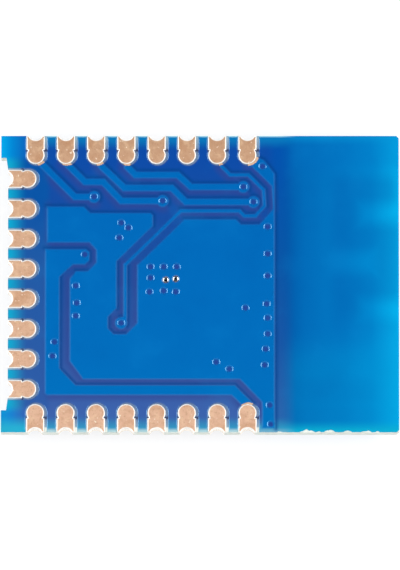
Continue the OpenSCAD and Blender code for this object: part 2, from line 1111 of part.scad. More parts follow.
fr4_core();
ground_pour();
signal_tracks();
fine_track();
supply_track();
ground_vias();
signal_vias();
pad_side_mask();
component_ground();
component_tracks();
component_lands();
antenna_trace();
component_mask();
chip_package();
chip_terminals();
chip_exposed_pad();
crystal_case();
crystal_lid();
crystal_terminals();
capacitor_bodies();
capacitor_caps();
inductor_bodies();
inductor_caps();
resistor_body();
resistor_coat();
resistor_caps();
solder_joints();
for (k = pads)
    edge_pad(k);
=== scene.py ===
"""Looks of the small radio module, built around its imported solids."""

import json
import math
import random

import bmesh
import bpy
import numpy as np
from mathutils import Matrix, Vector
from mathutils.geometry import delaunay_2d_cdt

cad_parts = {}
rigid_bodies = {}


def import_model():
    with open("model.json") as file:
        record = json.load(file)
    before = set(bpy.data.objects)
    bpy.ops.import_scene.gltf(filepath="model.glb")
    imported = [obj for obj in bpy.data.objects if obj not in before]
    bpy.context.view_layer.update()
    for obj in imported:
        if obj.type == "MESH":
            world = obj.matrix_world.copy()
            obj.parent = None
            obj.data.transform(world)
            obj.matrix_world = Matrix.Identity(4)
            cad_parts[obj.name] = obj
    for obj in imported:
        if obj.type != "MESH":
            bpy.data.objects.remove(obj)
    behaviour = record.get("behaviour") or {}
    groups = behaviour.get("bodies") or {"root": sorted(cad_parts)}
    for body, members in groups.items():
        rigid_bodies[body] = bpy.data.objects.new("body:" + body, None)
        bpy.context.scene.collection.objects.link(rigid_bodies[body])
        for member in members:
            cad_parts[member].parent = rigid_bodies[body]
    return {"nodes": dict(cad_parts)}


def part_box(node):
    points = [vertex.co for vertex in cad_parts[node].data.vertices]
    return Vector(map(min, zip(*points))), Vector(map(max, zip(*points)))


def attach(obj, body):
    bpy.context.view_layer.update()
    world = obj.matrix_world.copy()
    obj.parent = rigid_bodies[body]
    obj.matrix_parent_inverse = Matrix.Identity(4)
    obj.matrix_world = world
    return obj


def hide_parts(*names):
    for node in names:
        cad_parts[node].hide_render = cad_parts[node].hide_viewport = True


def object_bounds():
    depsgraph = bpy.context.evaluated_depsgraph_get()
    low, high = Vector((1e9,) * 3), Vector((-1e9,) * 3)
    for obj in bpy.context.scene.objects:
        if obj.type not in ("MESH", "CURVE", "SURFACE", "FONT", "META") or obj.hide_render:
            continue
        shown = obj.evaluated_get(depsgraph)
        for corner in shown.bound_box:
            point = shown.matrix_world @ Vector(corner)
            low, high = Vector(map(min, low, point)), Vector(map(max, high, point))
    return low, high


for startup_object in list(bpy.data.objects):
    bpy.data.objects.remove(startup_object)

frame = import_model()
cad_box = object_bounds()
nodes = frame["nodes"]

MM = 0.001

# Corners of a mesh that are closer than this are one corner, in metres
WELD = 2e-7

# Lengths are in millimetres down to the stage: digits that tell places apart, and how close points join
DIGITS = 4
MERGE = 0.002
FILL_MERGE = 1e-7
SAME_LEVEL = 1e-3

# Keeps a divisor from being zero
TINY = 1e-12

# A face lies flat if its normal points up by more than this
FLAT = 0.9


def in_mm(box):
    """A box's lowest and highest corners in millimetres, to a micrometre."""
    return [[round(v / MM, 3) for v in corner] for corner in box]


# Board: outline and two faces, its left edge between the tabs, and the levels of barrels, copper and film
(LEFT, BOTTOM, COMPONENT_FACE), (RIGHT, TOP, PAD_FACE) = in_mm(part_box("fr4_core"))
EDGE = in_mm(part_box("edge_pad_09"))[0][0]
BARREL_BOTTOM = in_mm(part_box("ground_vias"))[0][2]
COPPER_TOP = in_mm(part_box("ground_pour"))[1][2]
TOP_LEVEL = in_mm(cad_box)[1][2]


# Meshes

def welded(node):
    """A copy of a node's mesh, with its split corners joined."""
    bm = bmesh.new()
    bm.from_mesh(nodes[node].data)
    bmesh.ops.remove_doubles(bm, verts=bm.verts, dist=WELD)
    return bm


def add_piece(name, bm, material, slot, *replaced):
    """A mesh as a piece of the scene that rides on the root and takes the place of nodes."""
    mesh = bpy.data.meshes.new(name)
    bm.to_mesh(mesh)
    bm.free()
    mesh.materials.append(material)
    piece = bpy.data.objects.new(name, mesh)
    bpy.context.scene.collection.objects.link(piece)
    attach(piece, "root")
    if replaced:
        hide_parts(*replaced)
    return piece


def flat_place(vert):
    """A mesh corner's place in plan."""
    return (vert.co.x / MM, vert.co.y / MM)


def flat_key(p):
    """A place in plan, rounded, to know it by."""
    return (round(p[0], DIGITS), round(p[1], DIGITS))


def rim_edge(edge, wall):
    """A mesh edge in plan: the keys of its ends, and the way in from the wall that it tops."""
    a, b = (flat_key(flat_place(v)) for v in edge.verts)
    n = -wall.normal.xy.normalized()
    return a, b, (n[0], n[1])


def chains(edges):
    """Chains of 2-D edges: lists of (points, normals, closed). Each edge is (key, key, normal)."""
    at = {}
    for i, (a, b, _) in enumerate(edges):
        at.setdefault(a, []).append(i)
        at.setdefault(b, []).append(i)
    used = [False] * len(edges)
    found = []

    def walk(start, first):
        points, normals = [start], []
        here, i = start, first
        while i is not None:
            used[i] = True
            a, b, n = edges[i]
            here = b if a == here else a
            points.append(here)
            normals.append(n)
            i = next((j for j in at[here] if not used[j]), None)
            if here == start:
                break
        return points, normals

    ends = [k for k in at if len(at[k]) == 1]
    for k in ends:
        if not used[at[k][0]]:
            points, normals = walk(k, at[k][0])
            found.append((points, normals, False))
    for i in range(len(edges)):
        if not used[i]:
            points, normals = walk(edges[i][0], i)
            found.append((points[:-1], normals, True))
    return found


def ends_of(chain):
    """The far end of each edge along a chain."""
    points, _, closed = chain
    return points[1:] + points[:1] if closed else points[1:]


# A corner's mitre grows no longer than at this cosine, and an open end runs on by this length
MITRE_LIMIT = -0.5
RUN_ON = 0.12


def offset(chain, d):
    """The chain moved by d along its normals, with mitred corners. Open ends run on a little."""
    points, normals, closed = chain
    count = len(points)
    moved = []
    for i in range(count):
        before = normals[(i - 1) % len(normals)] if closed or i else normals[0]
        after = normals[i % len(normals)] if closed or i < count - 1 else normals[-1]
        dot = max(before[0] * after[0] + before[1] * after[1], MITRE_LIMIT)
        k = d / (1 + dot)
        moved.append((points[i][0] + (before[0] + after[0]) * k, points[i][1] + (before[1] + after[1]) * k))
    if not closed:
        first, last = (
            tuple(end[j] + (end[j] - inner[j]) / math.dist(end, inner) * RUN_ON for j in (0, 1))
            for end, inner in ((moved[0], moved[1]), (moved[-1], moved[-2]))
        )
        moved = [first, *moved, last]
    return moved


def segments(list_of_chains):
    """The two ends of each edge of some chains, as one array."""
    out = []
    for chain in list_of_chains:
        out += zip(chain[0], ends_of(chain))
    return np.array(out, dtype=float).reshape(-1, 2, 2)


def by_cell(points, size):
    """Groups of points that share a square cell: the cell's corner and the points' places in the list."""
    cells, group = np.unique(np.floor(points / size).astype(int), axis=0, return_inverse=True)
    order = np.argsort(group.ravel(), kind="stable")
    ends = np.cumsum(np.bincount(group.ravel()))
    for cell, end, start in zip(cells, ends, [0, *ends]):
        yield cell * size, order[start:end]


def distance(points, segs, limit=1.6, size=1.0):
    """Distance of each point to the nearest segment, up to a limit."""
    lowest, highest = segs.min(1), segs.max(1)
    out = np.full(len(points), limit)
    for corner, group in by_cell(points, size):
        close = ((lowest < corner + size + limit) & (highest > corner - limit)).all(1)
        if not close.any():
            continue
        a, b = segs[close, 0], segs[close, 1]
        ab = b - a
        p = points[group][:, None, :]
        t = np.clip(((p - a) * ab).sum(2) / np.maximum((ab ** 2).sum(1), TINY), 0, 1)
        out[group] = np.minimum(limit, np.sqrt((((a + t[..., None] * ab) - p) ** 2).sum(2).min(1)))
    return out


def inside(points, segs, size=0.5):
    """Even-odd test of each point against closed loops of segments."""
    out = np.zeros(len(points), dtype=bool)
    flat_y = np.stack([np.zeros(len(points)), points[:, 1]], axis=1)
    lowest, highest = segs[:, :, 1].min(1), segs[:, :, 1].max(1)
    for corner, group in by_cell(flat_y, size):
        close = (lowest <= corner[1] + size) & (highest >= corner[1])
        ax, ay, bx, by = segs[close, 0, 0], segs[close, 0, 1], segs[close, 1, 0], segs[close, 1, 1]
        rise = np.where(by == ay, TINY, by - ay)
        x, y = points[group, 0, None], points[group, 1, None]
        crosses = (ay > y) != (by > y)
        out[group] = (crosses & (x < ax + (y - ay) / rise * (bx - ax))).sum(1) % 2 == 1
    return out


def smooth(x):
    """A smooth step from 0 at 0 to 1 at 1."""
    x = np.clip(x, 0, 1)
    return x * x * (3 - 2 * x)


def fade(d, reach):
    """A smooth fall from 1 at no distance to 0 at the reach."""
    return 1 - smooth(d / reach)


def circle(centre, radius, turns):
    """Points round a circle."""
    angles = [2 * math.pi * k / turns for k in range(turns)]
    return [(centre[0] + radius * math.cos(a), centre[1] + radius * math.sin(a)) for a in angles]


def triangulate(lines, loose, keep):
    """Constrained triangles over lines and loose points: points and the triangles that keep() accepts."""
    points, edges = [Vector(p) for p in loose], []
    for line, closed in lines:
        start = len(points)
        points += [Vector(p) for p in line]
        edges += [(start + i, start + i + 1) for i in range(len(line) - 1)]
        if closed:
            edges.append((len(points) - 1, start))
    verts, _, faces, *_ = delaunay_2d_cdt(points, edges, [], 0, MERGE)
    flat = np.array([(v[0], v[1]) for v in verts])
    faces = np.array(faces)
    return flat, faces[keep(flat[faces].mean(1))]


def fill(bm, flat, edges, corners, keep):
    """Triangles between edges of known corners, facing down."""
    used = sorted({i for e in edges for i in e})
    place = {i: k for k, i in enumerate(used)}
    places = [Vector(flat[i]) for i in used]
    links = [(place[a], place[b]) for a, b in edges]
    points, _, faces, origins, *_ = delaunay_2d_cdt(places, links, [], 0, FILL_MERGE)
    middles = np.array([np.mean([points[i][:] for i in f], axis=0) for f in faces])
    for f, wanted in zip(faces, keep(middles)):
        if wanted:
            bm.faces.new([corners[used[origins[i][0]]] for i in reversed(f)])


def shell(flat, heights, faces, floor, up, traits, keep):
    """A closed body between the triangles at their heights and a flat floor, with values at its corners."""
    bm = bmesh.new()
    for trait in traits:
        bm.verts.layers.float.new(trait)

    def corner(i, z):
        return bm.verts.new((flat[i][0] * MM, flat[i][1] * MM, z * up * MM))

    used = np.unique(faces).tolist()
    top = {i: corner(i, heights[i]) for i in used}
    for trait, values in traits.items():
        layer = bm.verts.layers.float[trait]
        for i in used:
            top[i][layer] = values[i]
    for f in faces.tolist():
        bm.faces.new([top[i] for i in f]).smooth = True
    turns = {(f[k], f[(k + 1) % 3]) for f in faces.tolist() for k in range(3)}
    rim = sorted((a, b) for a, b in turns if (b, a) not in turns)
    low = {i: corner(i, floor) for i in sorted({i for e in rim for i in e})}
    for a, b in rim:
        wall = bm.faces.new((top[b], top[a], low[a], low[b]))
        for e in wall.edges:
            e.smooth = False
    fill(bm, flat, rim, low, keep)
    bmesh.ops.recalc_face_normals(bm, faces=bm.faces)
    return bm


def set_normals(mesh, normals):
    """Give the first corners of a mesh their own normals, where its faces have only such corners."""
    corner = np.empty(len(mesh.loops), dtype=np.int32)
    mesh.loops.foreach_get("vertex_index", corner)
    sizes = np.empty(len(mesh.polygons), dtype=np.int32)
    mesh.polygons.foreach_get("loop_total", sizes)
    flat = np.empty(len(mesh.polygons) * 3)
    mesh.polygons.foreach_get("normal", flat)
    face = np.repeat(np.arange(len(sizes)), sizes)
    starts = np.concatenate([[0], np.cumsum(sizes)[:-1]])
    free = np.maximum.reduceat(corner, starts) < len(normals)
    own = normals[np.minimum(corner, len(normals) - 1)]
    chosen = np.where(free[face][:, None], own, flat.reshape(-1, 3)[face])
    mesh.normals_split_custom_set((chosen / np.linalg.norm(chosen, axis=1)[:, None]).tolist())


# Solder mask film

# Rows of points along the slope up to the copper, as distances in from the film's step, and the slope itself
SLOPE_ROWS = (-0.05, -0.03, 0.0, 0.03, 0.06, 0.09, 0.12, 0.145, 0.16, 0.18)
SLOPE_START, SLOPE_END = -0.03, 0.16

# Rows along the rolled borders, and how wide and deep these roll, less deep at the edges of the board
ROLL_ROWS = (0.018, 0.038, 0.06, 0.085)
ROLL_WIDTH, ROLL_DROP, EDGE_DROP = 0.045, 0.018, 0.006

# A via's bore and barrel, the largest span of its hole in the film, and the openings round the bare vias
BORE, BARREL = 0.125, 0.15
VIA_HOLE = 0.3
BARE_OPENING = 0.6
BARE_RADIUS = 0.156

# Rings of a dimple over a via with their depths, its smallest scale, the room round it and its dark middle
DIMPLE_RADII = (0.05, 0.1, 0.13, 0.15, 0.158, 0.168, 0.18, 0.192, 0.202, 0.21, 0.222, 0.24)
DIMPLE_DEPTHS = (0.0275, 0.0265, 0.0255, 0.0243, 0.022, 0.0176, 0.0122, 0.0068, 0.0027, 0.0007, 0.0, 0.0)
DIMPLE_TURNS = 28
SMALLEST_DIMPLE = 0.35
DIMPLE_MARGIN = 0.02
DARK_RADIUS, DARK_FADE = 0.08, 0.1

# The film's thickness over the foil, the least that is left of it, and how far in foil and barrel start
FILM_ON_FOIL = 0.025
LEAST_FILM = 0.001
FOIL_SHOULDER = 0.045
BARREL_SKIN = 0.002

# Spacing of the loose points, where their grid starts, and how far they keep from steps and borders
GRID = 0.11
GRID_START = 0.04
STEP_ROOM, BORDER_ROOM = 0.07, 0.08

# Pitch of the points along borders and steps, offset of the slope's probes, and the look beyond a rim
PITCH = 0.18
PROBE = 0.003
BEYOND = 0.008

# How far off steps and borders are looked for, and the span over which an outline is the board's
STEP_LIMIT, BORDER_LIMIT = 0.5, 0.2
BOARD_SPAN = 10

# A border belongs to an opening if it lies this far in from the board's left, right and long edges
LEFT_INSIDE, RIGHT_INSIDE, ROW_INSIDE = 0.02, 0.05, 0.2

# The ways that light and dark steps face, how far a step has to face them, and how far their painted light
# and shade reach
LIGHT_SIDE = (-0.8, -0.6)
DARK_SIDE = (0.8, 0.6)
FACING_SHARE = 0.35
BORDER_REACH, SHADE_REACH, VIOLET_REACH, STEP_HIGHLIGHT_REACH, TRACE_REACH = 0.07, 0.17, 0.4, 0.13, 0.95

# Chips along the sawn lower edge, each as place, half width and depth
EDGE_CHIPS = (
    (3.95, 0.14, 0.03), (5.08, 0.14, 0.06), (5.26, 0.2, 0.13), (5.5, 0.16, 0.08), (5.86, 0.12, 0.03),
    (6.3, 0.16, 0.08), (6.46, 0.2, 0.12), (7.3, 0.2, 0.07), (8.12, 0.12, 0.04), (8.3, 0.18, 0.07),
    (8.78, 0.12, 0.03),
)
CHIP_SEED = 7
CHIP_STEP = 0.055
CHIP_SHAPE = 0.6
CHIP_FLOOR = 0.01
SAW_MARKS, CHIP_MARKS = 0.012, 0.03
SHORTEST_RUN = 0.3


def ragged(chain):
    """The board's outline with its lower edge sawn rough and chipped."""
    points, normals, closed = chain
    rng = random.Random(CHIP_SEED)
    out, out_normals = [], []
    for a, b, n in zip(points, ends_of(chain), normals):
        out.append(a)
        out_normals.append(n)
        low_run = abs(a[1] - BOTTOM) < SAME_LEVEL and abs(b[1] - BOTTOM) < SAME_LEVEL
        length = abs(b[0] - a[0])
        if not low_run or length < SHORTEST_RUN:
            continue
        steps = int(length / CHIP_STEP)
        for k in range(1, steps):
            x = a[0] + (b[0] - a[0]) * k / steps
            chip = max(d * max(0.0, 1 - abs(x - c) / half) ** CHIP_SHAPE for c, half, d in EDGE_CHIPS)
            rough = SAW_MARKS * rng.random() + (CHIP_MARKS * rng.random() if chip > CHIP_FLOOR else 0)
            out.append((x, BOTTOM + chip + rough))
            out_normals.append(n)
    return out, out_normals, closed


def tightened(chain):
    """A bare via's round opening, drawn in to the mouth of its hole."""
    points, normals, closed = chain
    centre = np.mean(points, axis=0)
    near = [np.subtract(q, centre) for q in points]
    return [tuple(centre + d * BARE_RADIUS / np.linalg.norm(d)) for d in near], normals, closed


def dense(chain):
    """The chain with its long edges divided."""
    points, normals, closed = chain
    out, out_normals = [], []
    for a, b, n in zip(points, ends_of(chain), normals):
        count = max(1, int(math.dist(a, b) / PITCH))
        out += [(a[0] + (b[0] - a[0]) * k / count, a[1] + (b[1] - a[1]) * k / count) for k in range(count)]
        out_normals += [n] * count
    return (out if closed else out + [points[-1]]), out_normals, closed


def span_of(chain):
    """The longer side of the box round a chain."""
    return float(np.ptp(np.array(chain[0]), axis=0).max())


def place_of(chain):
    """A loop's middle and span, rounded, to know it by."""
    return tuple(np.round(np.mean(chain[0], axis=0), 2)), round(span_of(chain), 2)


def film_lines(node, up):
    """A film node's step chains, its outlines with the via holes, its raised loops, and its two levels."""
    bm = welded(node)
    height = {f: round(f.verts[0].co.z / MM * up, 3) for f in bm.faces if f.normal.z * up > FLAT}
    low, high = min(height.values()), max(height.values())
    rims = {low: [], high: []}
    for e in bm.edges:
        tops = [f for f in e.link_faces if f in height]
        if len(tops) == 1:
            wall = next(f for f in e.link_faces if f not in height)
            rims[height[tops[0]]].append(rim_edge(e, wall))
    bm.free()
    low_segs = np.array([e[:2] for e in rims[low]])
    steps, outlines = [], []
    for level, rim in rims.items():
        beyond = np.array([(np.add(a, b) / 2 - np.array(n) * BEYOND) for a, b, n in rim])
        for edge, over_low in zip(rim, inside(beyond, low_segs)):
            if not over_low:
                outlines.append(edge)
            elif level == high:
                steps.append(edge)
    found = chains(outlines)
    for points, normals, closed in found:
        if not closed:
            steps += zip(points, points[1:], normals)
    return chains(steps), [c for c in found if c[2]], chains(rims[high]), low, high


def outline_of(node):
    """The segments round a flat copper node's faces."""
    bm = welded(node)
    flat = {f for f in bm.faces if f.normal.z > FLAT}
    rim = [e for e in bm.edges if sum(f in flat for f in e.link_faces) == 1]
    found = np.array([[flat_place(v) for v in e.verts] for e in rim])
    bm.free()
    return found


def facing(list_of_chains, direction):
    """The segments of copper edges that face a way, from the chains of edges with their inward normals."""
    out = []
    for chain in list_of_chains:
        for a, b, n in zip(chain[0], ends_of(chain), chain[1]):
            if -(n[0] * direction[0] + n[1] * direction[1]) > FACING_SHARE:
                out.append((a, b))
    return np.array(out, dtype=float).reshape(-1, 2, 2)


def from_centre(points, centre):
    """Distance of each point to a centre."""
    return np.hypot(points[:, 0] - centre[0], points[:, 1] - centre[1])


def sunk_vias(vias, edges):
    """Centre and scale of each dimple. A via with too little room beside it is closed flat."""
    centres = np.array([np.mean(c[0], axis=0) for c in vias])
    room = distance(centres, edges) - DIMPLE_MARGIN
    sunk = room > SMALLEST_DIMPLE * DIMPLE_RADII[-1]
    return list(zip(centres[sunk], np.minimum(1.0, room[sunk] / DIMPLE_RADII[-1])))


def loose_points(step_segs, border_segs, solid_segs):
    """Points that carry the shades of the film between and beyond the copper."""
    across = np.arange(LEFT + GRID_START, RIGHT, GRID)
    along = np.arange(BOTTOM + GRID_START, TOP, GRID)
    xs, ys = np.meshgrid(across, along)
    loose = np.stack([xs.ravel(), ys.ravel()], axis=1)
    loose = loose[inside(loose, border_segs) & ~inside(loose, solid_segs)]
    off_steps = distance(loose, step_segs) > STEP_ROOM
    return loose[off_steps & (distance(loose, border_segs) > BORDER_ROOM)]


def film_traits(flat, over, dimples, steps, openings):
    """Values from 0 to 1 at the film's points, from which its paint takes the colours, its painted light and
    shade among them.
    """
    dimple = np.zeros(len(flat))
    for centre, scale in dimples:
        dimple = np.maximum(dimple, fade(from_centre(flat, centre) / scale - DARK_RADIUS, DARK_FADE))
    antenna = outline_of("antenna_trace")
    from_antenna = np.where(inside(flat, antenna), 0.0, distance(flat, antenna))
    from_dark = distance(flat, facing(steps, DARK_SIDE))
    from_light = distance(flat, facing(steps, LIGHT_SIDE))
    return {
        "over": over,
        "dimple": dimple,
        "border": fade(distance(flat, openings), BORDER_REACH),
        "shade": fade(from_dark, SHADE_REACH) * (1 - over),
        "violet": fade(from_light, VIOLET_REACH) * (1 - over),
        "step_highlight": fade(from_light, STEP_HIGHLIGHT_REACH) * over,
        "trace": fade(from_antenna, TRACE_REACH) * (1 - over),
    }


def film(name, node, up, floor):
    """A film piece in the place of a film node. Gives the centres of its dimples."""
    steps, outlines, raised, low, high = film_lines(node, up)
    vias = [c for c in outlines if span_of(c) < VIA_HOLE]
    borders = [c for c in outlines if span_of(c) >= VIA_HOLE]
    bare = []
    if up > 0:
        borders = [ragged(c) if span_of(c) > BOARD_SPAN else c for c in borders]
        bare = [c for c in borders if span_of(c) < BARE_OPENING]
    borders = [dense(tightened(c) if c in bare else c) for c in borders]
    steps = [dense(c) for c in steps]
    step_segs, border_segs = segments(steps), segments(borders)
    # The raised region's own loops, without the via holes, which the film closes
    holes = {place_of(c) for c in vias + bare}
    solid_segs = segments([c for c in raised if place_of(c) not in holes])
    dimples = sunk_vias(vias, np.concatenate([step_segs, border_segs]))

    lines = [(c[0], True) for c in borders]
    lines += [(offset(c, d), True) for c in borders for d in ROLL_ROWS]
    lines += [(offset(c, d), c[2]) for c in steps for d in SLOPE_ROWS]
    for centre, scale in dimples:
        lines += [(circle(centre, r * scale, DIMPLE_TURNS), True) for r in DIMPLE_RADII]

    def keep(points):
        return inside(points, border_segs)

    flat, faces = triangulate(lines, loose_points(step_segs, border_segs, solid_segs), keep)

    def depth_in(q):
        return distance(q, step_segs, STEP_LIMIT) * np.where(inside(q, solid_segs), 1.0, -1.0)

    def coverage(q):
        return smooth((depth_in(q) - SLOPE_START) / (SLOPE_END - SLOPE_START))

    x, y = border_segs.mean(1).T
    within = (x > EDGE + LEFT_INSIDE) & (x < RIGHT - RIGHT_INSIDE) & (np.abs(y) < TOP - ROW_INSIDE)
    openings = border_segs[within]

    def height(q):
        z = low + (high - low) * coverage(q)
        z -= EDGE_DROP * fade(distance(q, border_segs, BORDER_LIMIT), ROLL_WIDTH)
        z -= (ROLL_DROP - EDGE_DROP) * fade(distance(q, openings, BORDER_LIMIT), ROLL_WIDTH)
        on_foil = depth_in(q) > FOIL_SHOULDER
        for centre, scale in dimples:
            r = from_centre(q, centre)
            z -= np.interp(r / scale, DIMPLE_RADII, DIMPLE_DEPTHS, right=0.0) * scale
            on_foil &= r > BARREL - BARREL_SKIN
        # The film never sinks into the foil under it
        return np.where(on_foil, np.maximum(z, high - FILM_ON_FOIL + LEAST_FILM), z)

    slopes = [(height(flat + h) - height(flat - h)) / (2 * PROBE) for h in ((PROBE, 0), (0, PROBE))]
    normals = np.stack([-slopes[0], -slopes[1], np.ones(len(flat))], axis=1) * (1, 1, up)
    traits = film_traits(flat, coverage(flat), dimples, steps, openings)
    bm = shell(flat, height(flat), faces, floor, up, traits, keep)
    piece = add_piece(name, bm, paints["solder_mask"], "solder_mask", node)
    set_normals(piece.data, normals[np.unique(faces)])
    return np.array([centre for centre, _ in dimples])


# Materials

def linear(c):
    """A screen level from 0 to 255 as light."""
    c /= 255
    return c / 12.92 if c <= 0.04045 else ((c + 0.055) / 1.055) ** 2.4


def tone(r, g, b):
    """A colour from its screen levels."""
    return (linear(r), linear(g), linear(b), 1.0)


class Tree:
    """A shader node tree, built from a few short calls."""

    def __init__(self, owner):
        owner.use_nodes = True
        self.tree = owner.node_tree
        self.tree.nodes.clear()

    def add(self, kind, **inputs):
        n = self.tree.nodes.new(kind)
        for key, value in inputs.items():
            self.feed(n.inputs[key], value)
        return n

    def link(self, a, b):
        self.tree.links.new(a, b)

    def feed(self, socket, value):
        if isinstance(value, bpy.types.NodeSocket):
            self.link(value, socket)
        else:
            socket.default_value = value

    def split(self, vector):
        n = self.add("ShaderNodeSeparateXYZ")
        self.link(vector, n.inputs[0])
        return n.outputs

    def seen(self):
        """1 for camera, glossy and transmission rays."""
        path = self.add("ShaderNodeLightPath").outputs
        both = self.math("MAXIMUM", path["Is Camera Ray"], path["Is Glossy Ray"])
        return self.math("MAXIMUM", both, path["Is Transmission Ray"])

    def math(self, op, a, b=0.0):
        n = self.add("ShaderNodeMath")
        n.operation = op
        self.feed(n.inputs[0], a)
        self.feed(n.inputs[1], b)
        return n.outputs[0]

    def step(self, value, start, end, low=0.0, high=1.0):
        """A smooth step from low at start to high at end."""
        n = self.add("ShaderNodeMapRange")
        n.interpolation_type = "SMOOTHSTEP"
        flip = start > end
        self.feed(n.inputs["Value"], value)
        n.inputs["From Min"].default_value = end if flip else start
        n.inputs["From Max"].default_value = start if flip else end
        n.inputs["To Min"].default_value = high if flip else low
        n.inputs["To Max"].default_value = low if flip else high
        return n.outputs[0]

    def spread(self, value, start, end, low, high):
        """A straight run from low at start to high at end."""
        n = self.add("ShaderNodeMapRange")
        self.feed(n.inputs["Value"], value)
        for key, v in (("From Min", start), ("From Max", end), ("To Min", low), ("To Max", high)):
            n.inputs[key].default_value = v
        return n.outputs[0]

    def mix(self, fac, a, b):
        n = self.add("ShaderNodeMix")
        n.data_type = "RGBA"
        self.feed(n.inputs[0], fac)
        self.feed(n.inputs[6], a)
        self.feed(n.inputs[7], b)
        return n.outputs[2]

    def ramp(self, value, stops):
        """A colour ramp with stops (place, colour), for values in their own unit."""
        first, last = stops[0][0], stops[-1][0]
        n = self.add("ShaderNodeValToRGB")
        self.feed(n.inputs[0], self.spread(value, first, last, 0.0, 1.0))
        ramp = n.color_ramp
        while len(ramp.elements) < len(stops):
            ramp.elements.new(0.5)
        for element, (at, colour) in zip(ramp.elements, stops):
            element.position = (at - first) / (last - first)
            element.color = colour
        return n.outputs[0]


class Paint(Tree):
    """A material with one shader, whose x and y are the object's own place in millimetres."""

    SOCKETS = {
        "base": "Base Color", "rough": "Roughness", "metal": "Metallic",
        "spec": "Specular IOR Level", "spec_tint": "Specular Tint",
    }

    def __init__(self, name):
        self.material = bpy.data.materials.new(name)
        super().__init__(self.material)
        self.shader = self.add("ShaderNodeBsdfPrincipled")
        self.link(self.shader.outputs[0], self.add("ShaderNodeOutputMaterial").inputs[0])
        coordinates = self.add("ShaderNodeTexCoord").outputs
        self.place, self.facing = coordinates["Object"], coordinates["Normal"]
        self.x, self.y = (self.math("MULTIPLY", axis, 1 / MM) for axis in self.split(self.place)[:2])

    def noise(self, per_mm, detail=2.0, rough=0.5, stretch=None):
        n = self.add("ShaderNodeTexNoise")
        where = self.place
        if stretch:
            m = self.add("ShaderNodeMapping")
            m.inputs["Scale"].default_value = stretch
            self.link(self.place, m.inputs[0])
            where = m.outputs[0]
        self.link(where, n.inputs["Vector"])
        n.inputs["Scale"].default_value = per_mm / MM
        n.inputs["Detail"].default_value = detail
        n.inputs["Roughness"].default_value = rough
        return n.outputs["Fac"]

    def bump(self, height, depth_mm, strength):
        n = self.add("ShaderNodeBump")
        n.inputs["Strength"].default_value = strength
        n.inputs["Distance"].default_value = depth_mm * MM
        self.link(height, n.inputs["Height"])
        self.link(n.outputs[0], self.shader.inputs["Normal"])

    def trait(self, name):
        """A value that the mesh holds at its corners."""
        n = self.add("ShaderNodeAttribute")
        n.attribute_name = name
        return n.outputs["Fac"]

    def normal(self, axis):
        """How far the surface faces along an axis (0, 1 or 2) of the object's own frame."""
        return self.split(self.facing)[axis]

    def from_long_edge(self):
        """How far a place lies in from the nearer long edge of the board."""
        return self.math("SUBTRACT", TOP, self.math("ABSOLUTE", self.y))

    def from_left_edge(self):
        """How far a place lies in from the left edge between its tabs."""
        return self.math("SUBTRACT", self.x, EDGE)

    def set(self, **values):
        for key, value in values.items():
            self.feed(self.shader.inputs[self.SOCKETS[key]], value)


# Where the film's colours pass into each other: halves, strip and side at the left, tabs, end of the pour
HALVES = (-1.0, 1.0)
LEFT_STRIP, STRIP_ENDS = (-7.3, -7.65), (6.4, 6.0)
LEFT_SIDE, SIDE_LIGHT = (-8.1, -8.7), (1.0, -0.1)
TABS, TAB_EDGE = (6.0, 6.5), (-6.5, -7.25)
POUR_END, BESIDE_POUR = (3.1, 3.9), (4.85, 3.8)


def lit_edges(p, body):
    """The film's body colour with painted light at the board's long edges: the glow let in there and a pale
    painted highlight line along each.
    """
    inward = p.from_long_edge()
    rim = p.math("MULTIPLY", p.step(inward, 0.26, 0.02), p.step(p.x, 2.95, 2.75, 0.3, 1.0))
    below = p.mix(p.step(inward, 0.85, 0.1), body, tone(50, 148, 187))
    below = p.mix(rim, below, tone(182, 214, 216))
    above = p.mix(p.step(inward, 0.75, 0.05), body, tone(8, 118, 180))
    above = p.mix(p.step(inward, 0.1, 0.0), above, tone(170, 224, 236))
    return p.mix(p.step(p.y, *HALVES), below, above)


def dark_film(p):
    """The film over laminate with copper behind it: dark, more violet towards the bottom, with painted light
    at its edges.
    """
    height = p.math("ABSOLUTE", p.y)
    low = lit_edges(p, p.ramp(p.y, [
        (-6.5, tone(60, 95, 164)), (0.0, tone(31, 77, 151)), (6.2, tone(13, 73, 160)),
    ]))
    strip = p.ramp(p.y, [(-6.2, tone(47, 89, 160)), (1.0, tone(32, 87, 158)), (4.0, tone(8, 82, 160))])
    low = p.mix(p.math("MULTIPLY", p.step(p.x, *LEFT_STRIP), p.step(height, *STRIP_ENDS)), low, strip)
    # Painted light: the left edge and its two tabs let in light as well
    side = p.mix(p.step(p.from_left_edge(), *SIDE_LIGHT), low, tone(16, 166, 202))
    upper_tab = p.ramp(p.x, [
        (LEFT, tone(4, 165, 227)), (-9.3, tone(1, 131, 204)), (-8.7, tone(10, 100, 182)),
    ])
    lower_tab = p.ramp(p.x, [
        (LEFT, tone(16, 146, 207)), (-9.3, tone(26, 125, 200)), (-8.7, tone(50, 98, 174)),
    ])
    lower_tab = p.mix(p.step(p.y, *TAB_EDGE), lower_tab, tone(40, 170, 202))
    tabs = p.mix(p.step(p.y, *HALVES), lower_tab, upper_tab)
    side = p.mix(p.step(height, *TABS), side, tabs)
    return p.mix(p.step(p.x, *LEFT_SIDE), low, side)


